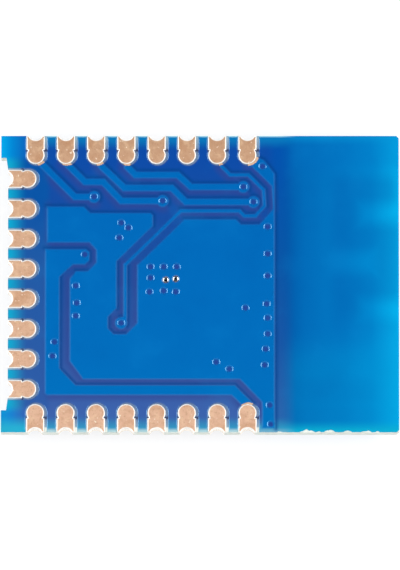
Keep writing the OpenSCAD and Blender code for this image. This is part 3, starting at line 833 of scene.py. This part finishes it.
def clear_film(p):
    """The film over clear laminate with painted light let through the board, brighter towards the end and
    the edges, and a painted shadow of the antenna behind.
    """
    clear = p.ramp(p.x, [
        (4.2, tone(0, 85, 161)), (5.2, tone(0, 104, 177)), (7.2, tone(0, 118, 188)),
        (8.5, tone(0, 134, 200)), (RIGHT, tone(4, 172, 227)),
    ])
    clear = p.mix(p.step(p.y, 4.9, 6.3, 0.0, 0.38), clear, tone(0, 106, 183))
    clear = p.mix(p.step(p.y, 6.9, 7.45, 0.0, 0.6), clear, tone(6, 146, 206))
    clear = p.mix(p.step(p.y, -2.0, -4.6, 0.0, 0.22), clear, tone(0, 156, 208))
    clear = p.mix(p.step(p.y, -6.75, -7.45), clear, tone(12, 172, 204))
    # Painted shadow of the antenna trace on the other face
    dim = p.math("MULTIPLY", p.trait("trace"), p.step(p.y, -3.3, -0.4, 0.12, 0.4))
    clear = p.mix(dim, clear, tone(0, 88, 166))
    beside_pour = lit_edges(p, p.ramp(p.y, [
        (-6.5, tone(42, 96, 164)), (-3.0, tone(24, 82, 157)), (1.0, tone(8, 82, 158)),
        (6.5, tone(2, 79, 166)),
    ]))
    return p.mix(p.step(p.x, *BESIDE_POUR), clear, beside_pour)


def mask_paint():
    """The blue film, whose colour follows what lies behind it, with painted light and shade at its edges,
    steps, borders and dimples.
    """
    p = Paint("solder_mask")
    low = p.mix(p.step(p.x, *POUR_END), dark_film(p), clear_film(p))
    # Painted light: a violet glow in the gaps beside the copper's light-side steps
    violet = p.math("MULTIPLY", p.trait("violet"), p.step(p.x, -7.9, -7.3, 0.0, 0.6))
    violet = p.math("MULTIPLY", violet, p.step(p.y, -7.2, -6.7))
    low = p.mix(violet, low, tone(50, 68, 138))
    # Painted shadow: a dark line in the gaps beside the copper's dark-side steps
    low = p.mix(p.math("MULTIPLY", p.trait("shade"), 0.75), low, tone(2, 66, 136))
    copper = p.ramp(p.y, [
        (BOTTOM, tone(0, 112, 184)), (-4.0, tone(0, 106, 181)), (TOP, tone(0, 101, 179)),
    ])
    colour = p.mix(p.step(p.trait("over"), 0.1, 0.9), low, copper)
    # Painted highlights along the copper's light-side steps and round the film's borders; the dimples'
    # middles over the holes darkened, partly painted shade
    for trait, strength, tint in (
        ("step_highlight", 0.6, tone(36, 128, 200)),
        ("border", 0.35, tone(84, 104, 146)),
        ("dimple", 0.9, tone(40, 64, 142)),
    ):
        colour = p.mix(p.math("MULTIPLY", p.trait(trait), strength), colour, tint)
    cloud = p.noise(0.5, 3)
    colour = p.mix(p.step(cloud, 0.5, 0.75, 0.0, 0.08), colour, tone(20, 150, 220))
    colour = p.mix(p.step(cloud, 0.5, 0.25, 0.0, 0.08), colour, tone(0, 70, 150))
    p.set(base=colour, rough=0.12, spec=1.0, spec_tint=(0.42, 0.8, 1.0, 1.0))
    p.bump(p.noise(6, 2), 0.002, 0.25)
    return p.material


# The range that most of a noise's values lie in
GRAIN = (0.3, 0.7)


def pad_paint():
    """The pads' plated face, grainy, with painted glints and pale at its rounded rim as a painted highlight.
    """
    p = Paint("pad_copper")
    body = p.ramp(p.y, [
        (BOTTOM, tone(230, 183, 152)), (5.0, tone(215, 168, 134)), (TOP, tone(200, 156, 122)),
    ])
    grain = p.noise(11, 4, 0.7)
    patch = p.noise(2.6, 2)
    body = p.mix(p.step(p.noise(0.9, 1), 0.46, 0.32, 0.0, 0.3), body, tone(196, 140, 98))
    body = p.mix(p.step(patch, 0.5, 0.34, 0.0, 0.22), body, tone(184, 128, 88))
    body = p.mix(p.step(patch, 0.52, 0.68, 0.0, 0.3), body, tone(244, 208, 168))
    body = p.mix(p.step(grain, 0.5, 0.3, 0.0, 0.4), body, tone(170, 116, 78))
    # Painted glints: a few soft bright specks on the face
    body = p.mix(p.step(p.noise(6.5, 1), 0.68, 0.78, 0.0, 0.9), body, tone(254, 238, 214))
    # Painted highlight: the rounded rim, tilted off the flat, is painted near white
    flatness = p.math("ABSOLUTE", p.normal(2))
    body = p.mix(p.step(flatness, 0.985, 0.9), body, tone(255, 250, 242))
    # The plated wall of a half hole shines more than the face
    wall = p.step(flatness, 0.4, 0.1)
    body = p.mix(wall, body, tone(252, 242, 228))
    rough = p.mix(wall, p.spread(grain, *GRAIN, 0.36, 0.5), p.spread(grain, *GRAIN, 0.18, 0.3))
    p.set(base=body, rough=rough, metal=p.spread(wall, 0.0, 1.0, 0.15, 0.85), spec=0.5)
    p.bump(grain, 0.004, 0.35)
    return p.material


def laminate_paint():
    """Pale glass laminate with its layers along the cut edges, and painted shade on its short ends and
    beside the pads.
    """
    p = Paint("laminate")
    weave = p.noise(3, 3, 0.6, stretch=(0.3, 0.3, 4.0))
    body = p.ramp(weave, [
        (0.3, tone(216, 220, 208)), (0.5, tone(233, 235, 224)), (0.7, tone(245, 246, 237)),
    ])
    # Painted shade: the two short ends, which face the lamps, are darker than the long edges
    end = p.step(p.math("ABSOLUTE", p.normal(0)), 0.4, 0.8)
    body = p.mix(end, body, p.ramp(weave, [
        (0.3, tone(190, 195, 181)), (0.5, tone(209, 213, 200)), (0.7, tone(224, 227, 215)),
    ]))
    # Beside the pads the bare face is darker: partly a veil of mask left on it, partly painted shade,
    # darkest at the pads' necks as a painted shadow
    bare = p.math("MULTIPLY", p.step(p.normal(2), 0.5, 0.9), p.step(p.y, BOTTOM + 0.2, BOTTOM + 0.3))
    inward = p.math("MINIMUM", p.from_long_edge(), p.from_left_edge())
    haze_and_shade = p.ramp(inward, [
        (0.0, tone(150, 180, 194)), (0.62, tone(112, 134, 164)), (1.25, tone(98, 122, 156)),
    ])
    neck_shadow = p.step(p.math("ABSOLUTE", p.math("SUBTRACT", inward, 0.72)), 0.12, 0.01)
    haze_and_shade = p.mix(neck_shadow, haze_and_shade, tone(36, 50, 92))
    body = p.mix(p.math("MULTIPLY", bare, p.step(p.x, 3.4, 3.2)), body, haze_and_shade)
    p.set(base=body, rough=0.6, spec=0.4)
    p.bump(weave, 0.01, 0.4)
    return p.material


def metal_paint(name, dark, light, rough, scale=8):
    """A bare metal with a fine grain."""
    p = Paint(name)
    grain = p.noise(scale, 3, 0.6)
    body = p.ramp(grain, [(GRAIN[0], dark), (GRAIN[1], light)])
    p.set(base=body, metal=1.0, rough=p.spread(grain, *GRAIN, rough, rough + 0.15))
    p.bump(grain, 0.002, 0.3)
    return p.material


def body_paint(name, dark, light, rough, scale=12, bump=0.003):
    """A fired, moulded or coated body with a fine grain."""
    p = Paint(name)
    grain = p.noise(scale, 4, 0.65)
    body = p.ramp(grain, [(GRAIN[0], dark), (GRAIN[1], light)])
    p.set(base=body, rough=p.spread(grain, *GRAIN, rough, rough + 0.12), spec=0.4)
    p.bump(grain, bump, 0.4)
    return p.material


paints = {
    "solder_mask": mask_paint(),
    "pad_copper": pad_paint(),
    "laminate": laminate_paint(),
    "copper_foil": body_paint("copper_foil", tone(200, 160, 130), tone(224, 186, 156), 0.4, 9),
    "plated_barrels": metal_paint("plated_barrels", tone(150, 155, 166), tone(204, 208, 216), 0.16),
    "chip_mould": body_paint("chip_mould", tone(26, 26, 28), tone(44, 44, 47), 0.45, 20, 0.006),
    "tinned_metal": metal_paint("tinned_metal", tone(176, 178, 180), tone(214, 216, 218), 0.3),
    "crystal_ceramic": body_paint("crystal_ceramic", tone(70, 52, 40), tone(92, 70, 54), 0.5),
    "crystal_lid": metal_paint("crystal_lid", tone(190, 186, 176), tone(216, 212, 202), 0.25, 5),
    "gold_plate": metal_paint("gold_plate", tone(214, 176, 96), tone(238, 206, 130), 0.28),
    "capacitor_ceramic": body_paint("capacitor_ceramic", tone(138, 104, 72), tone(168, 132, 96), 0.4),
    "inductor_ceramic": body_paint("inductor_ceramic", tone(196, 204, 206), tone(226, 230, 230), 0.4),
    "resistor_ceramic": body_paint("resistor_ceramic", tone(222, 222, 216), tone(240, 240, 236), 0.45),
    "resistor_coat": body_paint("resistor_coat", tone(16, 16, 18), tone(34, 34, 36), 0.3),
    "solder": metal_paint("solder", tone(178, 180, 182), tone(220, 222, 224), 0.22),
}

# The edge pads aren't named here: their paint is pad_copper
NODE_PAINTS = {
    "fr4_core": "laminate",
    "ground_pour": "copper_foil", "signal_tracks": "copper_foil", "fine_track": "copper_foil",
    "supply_track": "copper_foil", "component_ground": "copper_foil", "component_tracks": "copper_foil",
    "component_lands": "copper_foil", "antenna_trace": "copper_foil",
    "ground_vias": "plated_barrels", "signal_vias": "plated_barrels",
    "pad_side_mask": "solder_mask", "component_mask": "solder_mask",
    "chip_package": "chip_mould", "chip_terminals": "tinned_metal", "chip_exposed_pad": "tinned_metal",
    "crystal_case": "crystal_ceramic", "crystal_lid": "crystal_lid", "crystal_terminals": "gold_plate",
    "capacitor_bodies": "capacitor_ceramic", "capacitor_caps": "tinned_metal",
    "inductor_bodies": "inductor_ceramic", "inductor_caps": "tinned_metal",
    "resistor_body": "resistor_ceramic", "resistor_coat": "resistor_coat", "resistor_caps": "tinned_metal",
    "solder_joints": "solder",
}
for name, obj in nodes.items():
    paint = paints[NODE_PAINTS.get(name, "pad_copper")]
    for material_slot in obj.material_slots:
        material_slot.material = paint

# Rounded edges on the moulded, fired and pressed parts, and the angle from which an edge is sharp
SOFT_EDGES = {
    "chip_package": 0.04, "crystal_case": 0.05, "crystal_lid": 0.05,
    "capacitor_bodies": 0.02, "inductor_bodies": 0.02, "resistor_coat": 0.01,
}
SHARP = math.radians(50)
for name, width in SOFT_EDGES.items():
    nodes[name].modifiers.new("join", "WELD").merge_threshold = WELD
    edges = nodes[name].modifiers.new("edges", "BEVEL")
    edges.width = width * MM
    edges.segments = 3
    edges.limit_method = "ANGLE"
    edges.angle_limit = SHARP
    edges.harden_normals = True


# Pieces

via_centres = film("pad_side_film", "pad_side_mask", 1, PAD_FACE)
film("component_film", "component_mask", -1, -COMPONENT_FACE)

# A barrel's lip, and its upper ends under a dimple and at a bare via, as radii and heights over that end
BARREL_TURNS = 32
LIP_WIDTH, LIP_DROP, LIP_HEIGHT = 0.006, 0.003, 0.012
COVERED_COLLAR = [(BARREL, 0.0), (BORE + LIP_WIDTH, -LIP_DROP)]
BARE_COLLAR = [
    (BARREL, 0.0), (0.147, 0.005), (0.138, 0.004), (0.12, -0.004),
    (0.1, -0.014), (0.084, -0.024), (0.078, -0.04),
]
MOUTH_DEPTH = 0.09
SAME_PLACE = 0.03


def middles_of(node):
    """The places in plan of a node's separate solids."""
    bm = welded(node)
    seen, found = set(), []
    for first in bm.verts:
        if first in seen:
            continue
        seen.add(first)
        stack, group = [first], []
        while stack:
            v = stack.pop()
            group.append(flat_place(v))
            near = {e.other_vert(v) for e in v.link_edges} - seen
            seen |= near
            stack += near
        found.append(np.mean(group, axis=0))
    bm.free()
    return found


def barrel_profile(centre):
    """Radii and heights round a tube's wall. Under a dimple it ends at the laminate, else at the copper."""
    covered = (np.abs(via_centres - centre) < SAME_PLACE).all(1).any()
    top, collar = (PAD_FACE, COVERED_COLLAR) if covered else (COPPER_TOP, BARE_COLLAR)
    foot = [(BORE, LIP_HEIGHT), (BORE + LIP_WIDTH, LIP_DROP), (BARREL, 0.0)]
    profile = [(r, BARREL_BOTTOM + z) for r, z in foot]
    profile += [(r, top + z) for r, z in collar]
    return profile + [(BORE, top - MOUTH_DEPTH)]


def barrels(name, node):
    """Plated tubes with rounded mouths in the place of a via node's solids."""
    bm = bmesh.new()
    for centre in middles_of(node):
        rings = [
            [bm.verts.new((x * MM, y * MM, z * MM)) for x, y in circle(centre, r, BARREL_TURNS)]
            for r, z in barrel_profile(centre)
        ]
        for ring, above in zip(rings, rings[1:] + rings[:1]):
            for k in range(BARREL_TURNS):
                after = (k + 1) % BARREL_TURNS
                bm.faces.new((ring[k], ring[after], above[after], above[k])).smooth = True
    bmesh.ops.recalc_face_normals(bm, faces=bm.faces)
    for e in bm.edges:
        e.smooth = e.calc_face_angle(0) < SHARP
    add_piece(name, bm, paints["plated_barrels"], "plated_barrels", node)


barrels("ground_barrels", "ground_vias")
barrels("signal_barrels", "signal_vias")

# The antenna's open end stops a little short, under the film's slope
ANTENNA_END = (9.2, 4.2)
END_INSET = 0.1
bm = welded("antenna_trace")
for v in bm.verts:
    if v.co.x / MM > ANTENNA_END[0] and v.co.y / MM > ANTENNA_END[1]:
        v.co.x -= END_INSET * MM
add_piece("antenna_foil", bm, paints["copper_foil"], "copper_foil", "antenna_trace")

# Rows of a pad's rounded rim, as distances in from its edge and drops below its face
RIM_ROWS = (0.0, 0.014, 0.036, 0.066, 0.1)
RIM_DROPS = (0.05, 0.031, 0.016, 0.006, 0.0)
RIM_STEP = 0.06

# A row's point stays if it keeps this share of its distance, and a pad's edges are sharp from this angle
RIM_SLACK = 0.97
PAD_SHARP = math.radians(38)

# The upper face of a pad is level by more than this
LEVEL = 0.99


def open_rim(bm):
    """Take a pad's upper face off and divide the edges round it, which it gives."""
    face = [
        f for f in bm.faces
        if f.normal.z > LEVEL and all(abs(v.co.z / MM - TOP_LEVEL) < SAME_LEVEL for v in f.verts)
    ]
    inner = {e for f in face for e in f.edges if all(g in face for g in e.link_faces)}
    rim = {e for f in face for e in f.edges} - inner
    bmesh.ops.delete(bm, geom=face, context="FACES_ONLY")
    bmesh.ops.delete(bm, geom=[e for e in inner if e.is_valid], context="EDGES")
    for e in sorted(rim, key=lambda e: e.index):
        cuts = int(e.calc_length() / MM / RIM_STEP)
        if cuts:
            bmesh.ops.subdivide_edges(bm, edges=[e], cuts=cuts)
    return [e for e in bm.edges if len(e.link_faces) == 1]


def land(name, node):
    """A pad whose upper edges are rounded over."""
    bm = welded(node)
    rim = open_rim(bm)
    corners = {flat_key(flat_place(v)): v for e in rim for v in e.verts}
    loops = chains([rim_edge(e, e.link_faces[0]) for e in rim])
    segs = segments(loops)
    rows = [(offset(c, d), d) for c in loops for d in RIM_ROWS[1:]]
    loose = np.array([q for row, _ in rows for q in row])
    wanted = np.concatenate([np.full(len(row), d) for row, d in rows])
    loose = loose[inside(loose, segs) & (distance(loose, segs) > wanted * RIM_SLACK)]
    flat, faces = triangulate([(c[0], True) for c in loops], loose, lambda q: inside(q, segs))
    drops = np.interp(distance(flat, segs), RIM_ROWS, RIM_DROPS)
    verts = []
    for q, drop in zip(flat, drops):
        v = corners.get(flat_key(q))
        if v is None:
            v = bm.verts.new((q[0] * MM, q[1] * MM, 0))
        v.co.z = (TOP_LEVEL - drop) * MM
        verts.append(v)
    for f in faces.tolist():
        bm.faces.new([verts[i] for i in f])
    bmesh.ops.recalc_face_normals(bm, faces=bm.faces)
    for f in bm.faces:
        f.smooth = True
    for e in bm.edges:
        e.smooth = e.calc_face_angle(0) < PAD_SHARP
    add_piece(name, bm, paints["pad_copper"], "pad_copper", node)


for pad in sorted(n for n in nodes if n.startswith("edge_pad_")):
    land("land_" + pad[-2:], pad)


# Stage, light and camera: from here lengths are in metres

scene = bpy.context.scene

# A white floor: the light meets the plain grey, the eye a darker grey with a glow, for soft shadows
FLOOR_REACH = 3.0
FLOOR_GLOW = 0.72
PLAIN_GREY, SHADED_GREY = 0.82, 0.34
floor_mesh = bpy.data.meshes.new("floor")
corners = [(x * FLOOR_REACH, y * FLOOR_REACH, 0) for x, y in ((-1, -1), (1, -1), (1, 1), (-1, 1))]
floor_mesh.from_pydata(corners, [], [(0, 1, 2, 3)])
floor = bpy.data.objects.new("floor", floor_mesh)
scene.collection.objects.link(floor)
floor_paint = bpy.data.materials.new("floor")
t = Tree(floor_paint)
plain = t.add("ShaderNodeBsdfDiffuse", Color=(PLAIN_GREY, PLAIN_GREY, PLAIN_GREY, 1))
shaded = t.add("ShaderNodeBsdfDiffuse", Color=(SHADED_GREY, SHADED_GREY, SHADED_GREY, 1))
glow = t.add("ShaderNodeEmission", Color=(1, 1, 1, 1), Strength=FLOOR_GLOW)
both = t.add("ShaderNodeAddShader")
pick = t.add("ShaderNodeMixShader")
t.link(shaded.outputs[0], both.inputs[0])
t.link(glow.outputs[0], both.inputs[1])
t.link(t.seen(), pick.inputs[0])
t.link(plain.outputs[0], pick.inputs[1])
t.link(both.outputs[0], pick.inputs[2])
t.link(pick.outputs[0], t.add("ShaderNodeOutputMaterial").inputs[0])
floor_mesh.materials.append(floor_paint)

# A ring of soft boxes round a dark ceiling, open at the back, cool at the left and warm at the right
RING_LIGHT = 0.35
RING_TOP, RING_FOOT = (0.95, 0.87), (0.64, 0.74)
BACK = (-0.8, -0.25)
HORIZON = (0.5, 0.3)
scene.world = bpy.data.worlds.new("studio")
t = Tree(scene.world)
x, y, z = t.split(t.add("ShaderNodeTexCoord").outputs["Generated"])
radius = t.math("SQRT", t.math("ADD", t.math("MULTIPLY", x, x), t.math("MULTIPLY", y, y)))
front = t.math("DIVIDE", t.math("MULTIPLY", y, -1.0), t.math("MAXIMUM", radius, 0.01))
sector = t.step(front, *BACK, 0.15, 1.0)
boxes = t.math("MULTIPLY", t.step(z, *RING_TOP), t.step(z, *RING_FOOT))
level = t.math("MULTIPLY", t.math("MULTIPLY", boxes, sector), RING_LIGHT)
level = t.math("ADD", level, t.step(z, *HORIZON, 0.02, 0.9))
tint = t.mix(t.step(x, -0.6, 0.6), (0.9, 0.97, 1.06, 1), (1.0, 0.99, 0.98, 1))
lit = t.add("ShaderNodeBackground", Color=tint, Strength=level)
white = t.add("ShaderNodeBackground", Color=(1, 1, 1, 1), Strength=1.0)
pick = t.add("ShaderNodeMixShader")
t.link(t.add("ShaderNodeLightPath").outputs["Is Camera Ray"], pick.inputs[0])
t.link(lit.outputs[0], pick.inputs[1])
t.link(white.outputs[0], pick.inputs[2])
t.link(pick.outputs[0], t.add("ShaderNodeOutputWorld").inputs[0])

BOX_SIZE = (0.28, 0.088)
BOX_POWER = 0.54
BOX_ELEVATION = math.radians(41)
BOX_DISTANCE = 0.25


def lamp(name, azimuth, colour):
    """A soft box beside the module, turned towards it."""
    data = bpy.data.lights.new(name, "AREA")
    data.shape = "RECTANGLE"
    data.size, data.size_y = BOX_SIZE
    data.energy = BOX_POWER
    data.color = colour
    obj = bpy.data.objects.new(name, data)
    a, e = math.radians(azimuth), BOX_ELEVATION
    at = Vector((math.sin(a) * math.cos(e), -math.cos(a) * math.cos(e), math.sin(e))) * BOX_DISTANCE
    obj.location = at
    obj.rotation_euler = (-at).to_track_quat("-Z", "Y").to_euler()
    scene.collection.objects.link(obj)


lamp("left_box", -90, (0.93, 0.97, 1.0))
lamp("right_box", 90, (0.97, 0.985, 1.0))

ELEVATION = 82.5
DISTANCE = 0.6
PIXELS_PER_MM = 20.2
IMAGE_HEIGHT = 570
LOOK_AT = Vector((0, -0.06, TOP_LEVEL)) * MM
camera_data = bpy.data.cameras.new("camera")
camera = bpy.data.objects.new("camera", camera_data)
scene.collection.objects.link(camera)
tilt = math.radians(ELEVATION)
away = Vector((0, -math.cos(tilt), math.sin(tilt)))
camera.location = LOOK_AT + away * DISTANCE
camera.rotation_euler = (-away).to_track_quat("-Z", "Y").to_euler()
camera_data.sensor_width = 36
camera_data.lens = camera_data.sensor_width * DISTANCE / (IMAGE_HEIGHT / PIXELS_PER_MM * MM)
camera_data.clip_start = 0.01
camera_data.clip_end = 20
scene.camera = camera

scene.view_settings.view_transform = "Standard"
